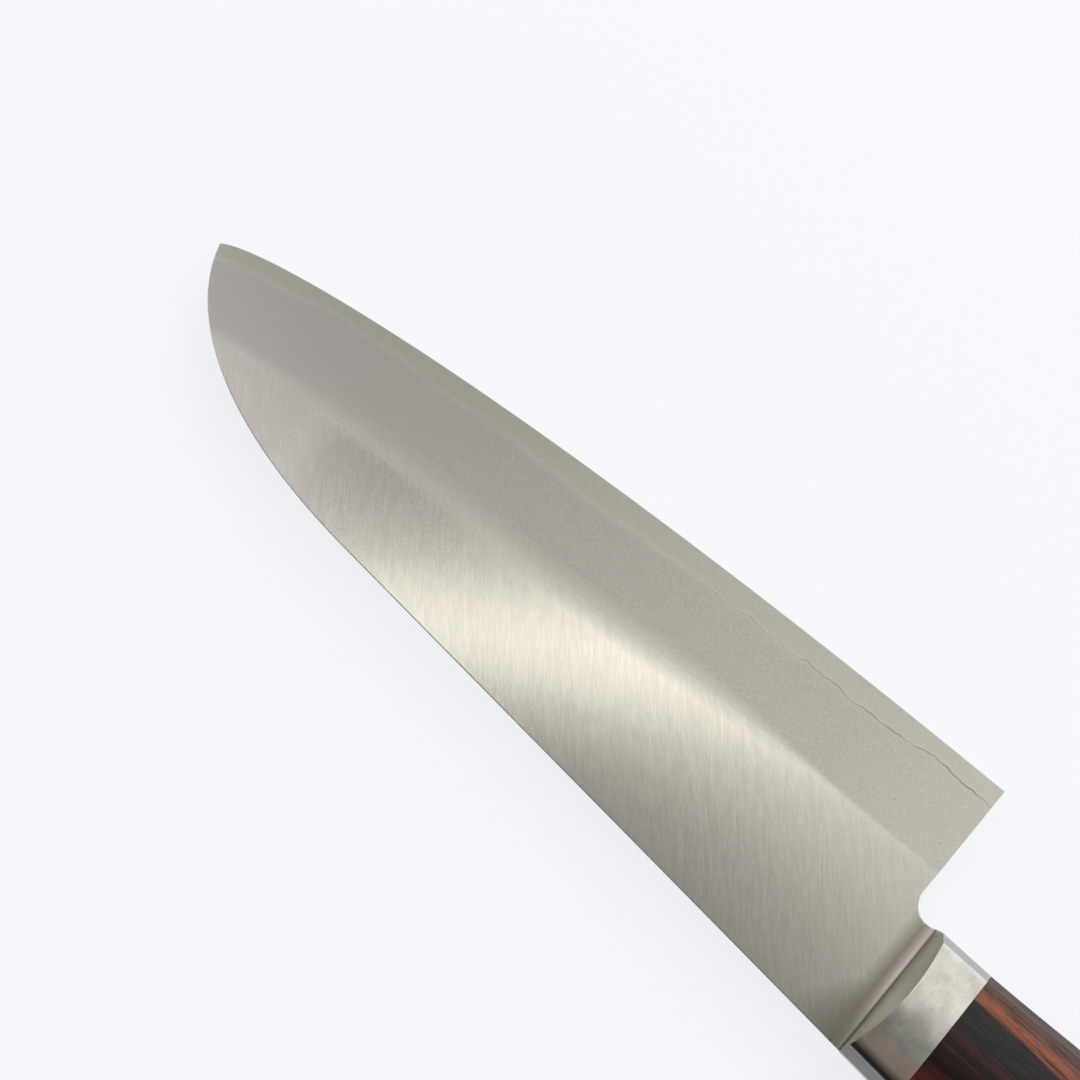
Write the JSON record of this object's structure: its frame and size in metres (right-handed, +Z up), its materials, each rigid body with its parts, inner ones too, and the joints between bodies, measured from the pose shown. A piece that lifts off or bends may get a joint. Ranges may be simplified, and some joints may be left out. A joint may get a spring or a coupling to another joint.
{
  "type": "santoku knife",
  "caption": "Santoku kitchen knife lying on its side, with a layered blade, a sloped steel bolster, a full tang and riveted wooden scales.",
  "frame": {"origin": "centre of the base of the part's box, on the surface that the left side of the handle lies on", "axes": "+X along the knife towards the tip, +Y towards the spine, +Z up through the thickness of the blade"},
  "size_m": [0.292, 0.0466, 0.0155],
  "materials": {
    "core_steel": "matte",
    "cladding_steel": "satin",
    "bolster_steel": "polished",
    "wood": "semi-gloss",
    "rivet_steel": "polished"
  },
  "bodies": {
    "root": {"core_steel": "core_steel", "cladding_right": "cladding_steel", "cladding_left": "cladding_steel", "bolster_right": "bolster_steel", "bolster_left": "bolster_steel", "scale_right": "wood", "scale_left": "wood", "rivet_1_shank": "rivet_steel", "rivet_1_tube": "rivet_steel", "rivet_2_shank": "rivet_steel", "rivet_2_tube": "rivet_steel", "rivet_3_shank": "rivet_steel", "rivet_3_tube": "rivet_steel"}
  },
  "joints": []
}
